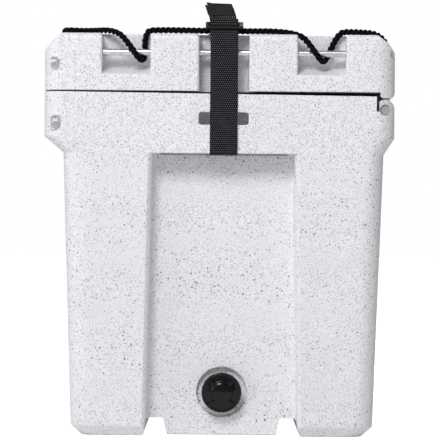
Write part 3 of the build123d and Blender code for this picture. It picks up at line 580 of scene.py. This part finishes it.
def joined(piece, others):
    alone(piece)
    for other in others:
        other.select_set(True)
    bpy.ops.object.join()
    return piece


for side in ("drain", "far"):
    node = f"latch_{side}_side"
    low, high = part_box(node)
    middle, wide = (low.y + high.y) / 2, high.y - low.y
    pull = softened(node, 0.0009)
    grip = (GRIP_THICK, wide * GRIP_SHARE, GRIP_HIGH)
    extras = [pad((low.x, middle, high.z - GRIP_DROP + GRIP_STEP * i), grip, 0.0006) for i in (-1, 0, 1)]
    floor_z, top_z = low.z + BORDER_UP, high.z - BORDER_DOWN
    for end in (-1, 1):
        extras.append(pad((low.x, middle + end * (wide / 2 - BORDER_INSET), (floor_z + top_z) / 2),
                          (BORDER_THICK, BORDER_WIDE, top_z - floor_z), 0.0005))
    for z in (floor_z, top_z):
        extras.append(pad((low.x, middle, z), (BORDER_THICK, wide - 2 * BORDER_INSET, BORDER_WIDE), 0.0005))
    joined(pull, extras)
    settle(pull, f"rubber_latch_{side}_side", node, rubber, [node])

# Webbing. Black 32 mm webbing, woven with a small raised dot: a lower strap through the slot and
# round the ledge at each end, and an upper strap over the lid with its tails folded on top.
WEB, GAUGE = 0.0325, 0.0020
DOT = 0.0024


def webbing(name, controls, body, width, stands_for, lean=None):
    """A strip of webbing along a smooth line of (x, y, z) points, that leans by lean(y) degrees."""
    line, length = smooth_line(controls, 0.0016)
    half, edge = width / 2 - GAUGE / 2, GAUGE / 2
    section = [(-half + 2 * half * i / 8, edge) for i in range(9)]
    section += [(half + edge * math.sin(a), edge * math.cos(a)) for a in (math.pi / 3, 2 * math.pi / 3)]
    section += [(-x, -z) for x, z in section]
    reach = [0.0]
    for before, here in zip(section, section[1:] + section[:1]):
        reach.append(reach[-1] + math.dist(before, here))
    columns = round(reach[-1] / DOT)
    rings = []
    for i, centre in enumerate(line):
        way = (line[min(i + 1, len(line) - 1)] - line[max(i - 1, 0)]).normalized()
        aside = Vector((1.0, 0.0, 0.0))
        if lean:
            aside = Matrix.Rotation(math.radians(lean(centre.y)), 3, "Y") @ aside
        aside = (aside - way * aside.dot(way)).normalized()
        out = aside.cross(way)
        rings.append([centre + aside * x + out * z for x, z in section])
    piece = skin(name, rings, [columns * r / reach[-1] for r in reach], width=length / (len(line) - 1) / DOT)
    alone(piece)
    bpy.ops.object.mode_set(mode="EDIT")
    bpy.ops.mesh.select_all(action="SELECT")
    bpy.ops.mesh.normals_make_consistent(inside=False)
    bpy.ops.object.mode_set(mode="OBJECT")
    settle(piece, name, body, woven, [stands_for], sharp=50.0)
    return piece


woven, wire = new_finish("black_webbing", 0.75, Specular_IOR_Level=0.08)
run = wire.node("SeparateXYZ", {}, {0: wire.node("TexCoord", output="UV")})
row = run.also(1)
half_step = row.sum("MODULO", row.sum("FLOOR", row), 2.0) * 0.5
across = run.sum("FRACT", run + half_step) - 0.5
down = row.sum("FRACT", row) - 0.5
dots = (across * across + down * down).fade(0.12, 0.03)
rib_lines = abs(row.sum("FRACT", row * 2.0) - 0.5) * 2.0
place = wire.node("TexCoord", output="Object")
fluff = wire.node("TexNoise", {}, {"Vector": place, "Scale": 1500.0, "Detail": 2.0})
# Painted highlight: each raised dot is painted light grey, and random fluff varies its strength.
glint = dots.fade(0.25, 0.8) * (fluff.fade(0.3, 0.6) * 0.6 + 0.4)
feed(woven, height=dots + rib_lines * 0.3 + fluff * 0.2, depth=0.00035,
     Base_Color=glint.mix(rgb(6, 6, 8), rgb(112, 113, 119)), Roughness=0.8 - dots * 0.2)

BUCKLE_TILT, BUCKLE_Y, BUCKLE_Z = math.radians(16.0), -0.323, 0.4773


def over_buckle(along, lift, x=TUB_MIDDLE):
    """A point that far back along the drain end's buckle, and that far above its middle plane."""
    return (x, BUCKLE_Y + along * math.cos(BUCKLE_TILT) - lift * math.sin(BUCKLE_TILT),
            BUCKLE_Z + along * math.sin(BUCKLE_TILT) + lift * math.cos(BUCKLE_TILT))


def mirrored(points):
    return [(x, -y, z) for x, y, z in points]


OUTER, INNER, UNDER, SLOT = -0.3264, -0.3126, 0.3296, 0.3716
lower_strap = [(TUB_MIDDLE, y, z) for y, z in (
    (OUTER + 0.0022, SLOT), (INNER - 0.004, SLOT), (INNER - 0.0006, SLOT - 0.0004), (INNER, SLOT - 0.005),
    (INNER, 0.350), (INNER, UNDER + 0.005), (INNER - 0.0006, UNDER + 0.0004), (INNER - 0.005, UNDER),
    (OUTER + 0.004, UNDER), (OUTER + 0.0006, UNDER + 0.0004), (OUTER, UNDER + 0.005), (OUTER, 0.350),
    (OUTER, 0.3995), (OUTER + 0.0003, 0.4045), (OUTER, 0.4095), (OUTER, 0.463), (OUTER, 0.4705))]
lower_strap += [over_buckle(-1e-3, -0.0036), over_buckle(0.003, -0.0040), over_buckle(0.009, -0.0046)]
for side, turn in (("drain", list), ("far", mirrored)):
    webbing(f"lower_strap_{side}_side", turn(lower_strap), "base", WEB, f"strap_loop_{side}_side")

arch = [(-0.294, 0.0205), (-0.281, 0.0310), (-0.262, 0.0355), (-0.240, 0.0320), (-0.214, 0.015),
        (-0.196, 0.0035), (-0.180, 0.0015)]


def leaning(y):
    """The slack arch leans towards the hinge side as it is pulled over."""
    return 12.0 * math.exp(-((abs(y) - 0.276) / 0.036) ** 2)


def drift(y):
    return TUB_MIDDLE - 0.0085 * math.exp(-((abs(y) - 0.266) / 0.026) ** 2)


rise = [over_buckle(0.0115, -0.0029), over_buckle(0.0065, -0.0030), over_buckle(0.0032, -0.0008),
        over_buckle(0.0028, 0.0040), over_buckle(0.0052, 0.0078), over_buckle(0.0120, 0.0085)]
rise += [(drift(y), y, LID_TOP + z) for y, z in arch]
flat_run = [(TUB_MIDDLE, -0.120, LID_TOP + 0.0013), (TUB_MIDDLE, 0.120, LID_TOP + 0.0013)]
webbing("upper_strap", rise + flat_run + mirrored(rise[::-1]), "lid", WEB, "lid_strap",
        leaning)

folded = [(-0.2810, 0.0377), (-0.2905, 0.0304), (-0.3010, 0.0226), (-0.3032, 0.0200), (-0.3000, 0.0190),
          (-0.2935, 0.0234), (-0.2820, 0.0341), (-0.2620, 0.0386), (-0.2480, 0.0375), (-0.2395, 0.0341)]
tail = [(drift(y) + 0.0004, y, LID_TOP + z) for y, z in folded]
for side, turn in (("drain", list), ("far", mirrored)):
    webbing(f"strap_end_{side}_side", turn(tail), "lid", 0.0295, f"strap_tail_{side}_side",
            leaning)

# Buckles. A ladder buckle of steel with a smooth black coat at each end: two side rails and three
# bars, cut from thick plate and tumbled, with the webbing laced over its bars.
BUCKLE_WIDE, BUCKLE_LONG, BUCKLE_THICK, BAR, RAIL = 0.044, 0.028, 0.0034, 0.0030, 0.0050
coated, wire = new_finish("black_coated_steel", 0.45, Specular_IOR_Level=0.3)
place = wire.node("TexCoord", output="Object")
rubbed = wire.node("TexNoise", {}, {"Vector": place, "Scale": 160.0, "Detail": 5.0})
chip = rubbed.fade(0.66, 0.74)
feed(coated, height=rubbed, depth=0.00004, Base_Color=chip.mix(rgb(13, 13, 16), rgb(80, 81, 85)),
     Roughness=0.42 + rubbed.fade(0.35, 0.75) * 0.2, Metallic=chip * 0.8)
for side, end in (("drain", 1.0), ("far", -1.0)):
    bpy.ops.object.select_all(action="DESELECT")
    bpy.ops.mesh.primitive_plane_add(size=1.0)
    buckle = bpy.context.object
    buckle.scale = (BUCKLE_WIDE, BUCKLE_LONG, 1.0)
    bpy.ops.object.transform_apply(location=False, rotation=False, scale=True)
    bpy.ops.object.mode_set(mode="EDIT")
    gap = (BUCKLE_LONG - 3 * BAR) / 2
    for cut in (-BUCKLE_LONG / 2 + BAR, -BAR / 2, BAR / 2, BUCKLE_LONG / 2 - BAR):
        bpy.ops.mesh.select_all(action="SELECT")
        bpy.ops.mesh.bisect(plane_co=(0, cut, 0), plane_no=(0, 1, 0))
    for cut in (-BUCKLE_WIDE / 2 + RAIL, BUCKLE_WIDE / 2 - RAIL):
        bpy.ops.mesh.select_all(action="SELECT")
        bpy.ops.mesh.bisect(plane_co=(cut, 0, 0), plane_no=(1, 0, 0))
    choose(buckle, lambda middle, part: abs(middle.x) < BUCKLE_WIDE / 2 - RAIL
           and BAR / 2 < abs(middle.y) < BUCKLE_LONG / 2 - BAR)
    bpy.ops.mesh.delete(type="FACE")
    bpy.ops.object.mode_set(mode="OBJECT")
    modify(buckle, "SOLIDIFY", thickness=BUCKLE_THICK, offset=0.0)
    modify(buckle, "BEVEL", width=0.0010, segments=3, limit_method="ANGLE", angle_limit=math.radians(40))
    x, y, z = over_buckle(BUCKLE_LONG / 2 - BAR / 2, 0.0)
    buckle.matrix_world = Matrix.Translation((x, y * end, z)) @ Matrix.Rotation(BUCKLE_TILT * end, 4, "X")
    settle(buckle, f"ladder_buckle_{side}_side", "lid", coated, [f"buckle_{side}_side"])
